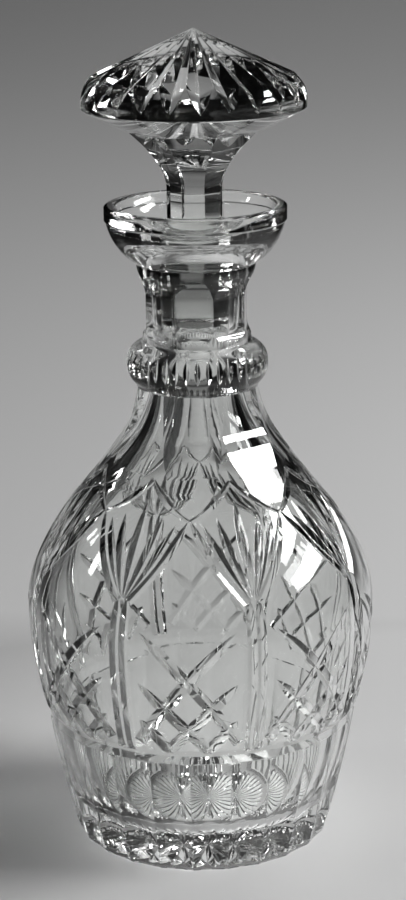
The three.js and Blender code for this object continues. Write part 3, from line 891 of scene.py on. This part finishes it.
def painted_light_paper_material(look):
    """Matt sized paper with no gloss. Its colour holds painted light: pale in a painted pool round the
    decanter and along a strip, and painted shade, as dark as the unlit room, on the floor and wall beyond.
    """
    material = bpy.data.materials.new("matt_paper_floor_painted_light")
    material.use_nodes = True
    tree = material.node_tree
    tree.nodes.clear()
    place = node(tree, "ShaderNodeTexCoord")
    parts = node(tree, "ShaderNodeSeparateXYZ", None, {0: (place, "Object")})
    # A painted pool of light round the decanter
    middle = node(tree, "ShaderNodeVectorMath", {"operation": "DISTANCE", 1: PAINTED_POOL_MIDDLE},
                  {0: (place, "Object")})
    painted_pool = node(tree, "ShaderNodeMapRange", {"From Min": PAINTED_POOL_LIT, "From Max": PAINTED_POOL_DARK},
                {"Value": (middle, "Value")})
    # A pale strip that runs back from it and up the wall, wider as it goes; painted shade darkens the floor
    # beside it and in front of the decanter
    across = node(tree, "ShaderNodeMath", {"operation": "MULTIPLY_ADD", 1: STRIP_LEAN},
                  {0: (parts, "Y"), 2: (parts, "X")})
    sides = []
    for spread, lit, dark in STRIP_SIDES:
        side = node(tree, "ShaderNodeMath", {"operation": "MULTIPLY_ADD", 1: spread},
                    {0: (parts, "Y"), 2: (across, "Value")})
        sides.append(node(tree, "ShaderNodeMapRange", {"From Min": lit, "From Max": dark},
                          {"Value": (side, "Value")}))
    left, right = sides
    ahead = node(tree, "ShaderNodeMapRange", {"From Min": PAINTED_STRIP_LIT, "From Max": PAINTED_STRIP_DARK},
                 {"Value": (parts, "Y")})
    beside = node(tree, "ShaderNodeMath", {"operation": "MAXIMUM"},
                  {0: (left, "Result"), 1: (right, "Result")})
    off_strip = node(tree, "ShaderNodeMath", {"operation": "MAXIMUM"},
                     {0: (beside, "Value"), 1: (ahead, "Result")})
    off_both = node(tree, "ShaderNodeMath", {"operation": "MINIMUM"},
                    {0: (off_strip, "Value"), 1: (painted_pool, "Result")})
    # Painted shade: the wall darker with height
    high = node(tree, "ShaderNodeMapRange", {"From Min": PAINTED_WALL_LIT, "From Max": PAINTED_WALL_DARK},
                {"Value": (parts, "Z")})
    # The painted shade: dark wherever both pool and strip have faded, and high on the wall
    painted_shade = node(tree, "ShaderNodeMath", {"operation": "MAXIMUM"},
                 {0: (off_both, "Value"), 1: (high, "Result")})
    # The mix node's inputs of one name differ by type, so its colours are set by number
    shade = node(tree, "ShaderNodeMix", {"data_type": "RGBA"}, {0: (painted_shade, "Value")})
    # The pale floor colour where the painted light lies, and the dark wall colour as painted shade
    shade.inputs[6].default_value = (*look.floor, 1.0)
    shade.inputs[7].default_value = (*look.wall, 1.0)
    paper = node(tree, "ShaderNodeBsdfPrincipled", {"Roughness": 0.85, "IOR": 1.3},
                 {"Base Color": (shade, 2)})
    node(tree, "ShaderNodeOutputMaterial", None, {"Surface": (paper, "BSDF")})
    return material


class DECANTER_OT_stage(bpy.types.Operator):
    """Lays the floor with its raised edge and its painted pool of light, hangs the lamps and sets the camera
    """

    bl_idname = "decanter.stage"
    bl_label = "Set Stage"

    def execute(self, context):
        look = context.scene.decanter_stage
        self.floor(look)
        # Two boxes on the right stand for a window's panes, and small ones give the edges their sparkle
        for name, watts, size, place in (
            ("key_softbox", look.key, (0.8, 0.32), (1.26, 0.05, 1.07)),
            ("low_softbox", look.key * 0.5, (0.8, 0.18), (1.26, 0.05, 0.63)),
            ("side_softbox", look.side, (0.08, 0.14), (-0.85, -0.1, 0.5)),
            ("left_rim_lamp", look.rim * 0.25, (0.14, 0.24), (-1.1, 1.3, 1.0)),
            ("right_rim_lamp", look.rim * 0.7, (0.24, 0.24), (0.9, 1.2, 1.6)),
        ):
            add_lamp(name, watts, size, place)
        # The far floor and the wall have a light of their own, which the glass doesn't mirror
        wash = add_lamp("floor_wash", look.wash, (3.0, 3.0), (1.6, 2.6, 2.8), (0.6, 4.0, 0.3))
        wash.visible_glossy = False
        wash.visible_transmission = False
        self.room(context, look)
        self.camera(context)
        context.scene.view_settings.view_transform = "Standard"
        # Light crosses many walls of cut glass before it leaves
        cycles = context.scene.cycles
        cycles.max_bounces = 28
        cycles.transmission_bounces = 28
        cycles.glossy_bounces = 10
        return {"FINISHED"}

    def floor(self, look):
        wall_foot, wall, wall_top = (3.2, 0.0), (4.2, 1.0), (4.2, 3.0)
        floor = turn_profile("studio_floor", [
            (0.0, 0.0),
            (0.4, 0.0),
            (1.2, 0.0),
            wall_foot,
            *curve(wall_foot, wall, WALL_CURVE, 10),
            wall_top,
        ], FLOOR_TURNS)
        pick(floor)
        bpy.ops.object.mode_set(mode="EDIT")
        bpy.ops.mesh.select_all(action="SELECT")
        bpy.ops.mesh.flip_normals()
        bpy.ops.object.mode_set(mode="OBJECT")
        bpy.ops.object.shade_smooth()
        floor.data.materials.append(painted_light_paper_material(look))

    def room(self, context, look):
        world = bpy.data.worlds.new("studio_room")
        context.scene.world = world
        world.use_nodes = True
        back = world.node_tree.nodes["Background"]
        back.inputs["Color"].default_value = (1.0, 1.0, 1.0, 1.0)
        back.inputs["Strength"].default_value = look.room

    def camera(self, context):
        """The camera of the photograph, found from the ellipses of foot, band, lip and rim."""
        data = bpy.data.cameras.new("camera")
        data.lens = CAMERA_LENS
        data.sensor_width = 36.0
        camera = bpy.data.objects.new("camera", data)
        context.collection.objects.link(camera)
        turn, tilt, roll = [math.radians(value) for value in (CAMERA_TURN, CAMERA_TILT, CAMERA_ROLL)]
        away = outward(turn)
        level = Vector((math.cos(turn), math.sin(turn), 0.0))
        down = Vector((0.0, 0.0, -math.sin(tilt)))
        straight = (down - away * math.cos(tilt)).normalized()
        # The axis of the decanter stands a little left of the middle of the frame
        ahead = straight * math.cos(CAMERA_ASIDE) + level * math.sin(CAMERA_ASIDE)
        right = level * math.cos(CAMERA_ASIDE) - straight * math.sin(CAMERA_ASIDE)
        up = right.cross(ahead).normalized()
        rolled_right = right * math.cos(roll) - up * math.sin(roll)
        rolled_up = up * math.cos(roll) + right * math.sin(roll)
        turned = Matrix((rolled_right, rolled_up, -ahead)).transposed().to_4x4()
        place = away * CAMERA_DISTANCE + Vector((0.0, 0.0, CAMERA_HEIGHT))
        camera.matrix_world = Matrix.Translation(place) @ turned
        context.scene.camera = camera


class DECANTER_PT_panel(bpy.types.Panel):
    """Sizes of the decanter and the steps that make it"""

    bl_idname = "DECANTER_PT_panel"
    bl_label = "Cut Crystal Decanter"
    bl_space_type = "VIEW_3D"
    bl_region_type = "UI"
    bl_category = "Decanter"

    def draw(self, context):
        layout = self.layout
        for group in GROUPS:
            box = layout.box()
            box.label(text=group.title())
            owner = getattr(context.scene, "decanter_" + group)
            for name in owner.bl_rna.properties.keys():
                if name not in ("rna_type", "name"):
                    box.prop(owner, name)
        for step in STEPS:
            layout.operator(step.bl_idname)


GROUPS = {
    "bottle": BottleSizes,
    "cuts": CutSizes,
    "stopper": StopperSizes,
    "look": CrystalLook,
    "stage": StageLook,
}
STEPS = (DECANTER_OT_bottle, DECANTER_OT_stopper, DECANTER_OT_stage)


def register():
    for name, group in GROUPS.items():
        bpy.utils.register_class(group)
        setattr(bpy.types.Scene, "decanter_" + name, PointerProperty(type=group))
    for step in (*STEPS, DECANTER_PT_panel):
        bpy.utils.register_class(step)


def unregister():
    for step in (DECANTER_PT_panel, *reversed(STEPS)):
        bpy.utils.unregister_class(step)
    for name, group in GROUPS.items():
        delattr(bpy.types.Scene, "decanter_" + name)
        bpy.utils.unregister_class(group)


def main():
    register()
    bpy.ops.decanter.bottle()
    bpy.ops.decanter.stopper()
    bpy.ops.decanter.stage()


if __name__ == "__main__":
    main()
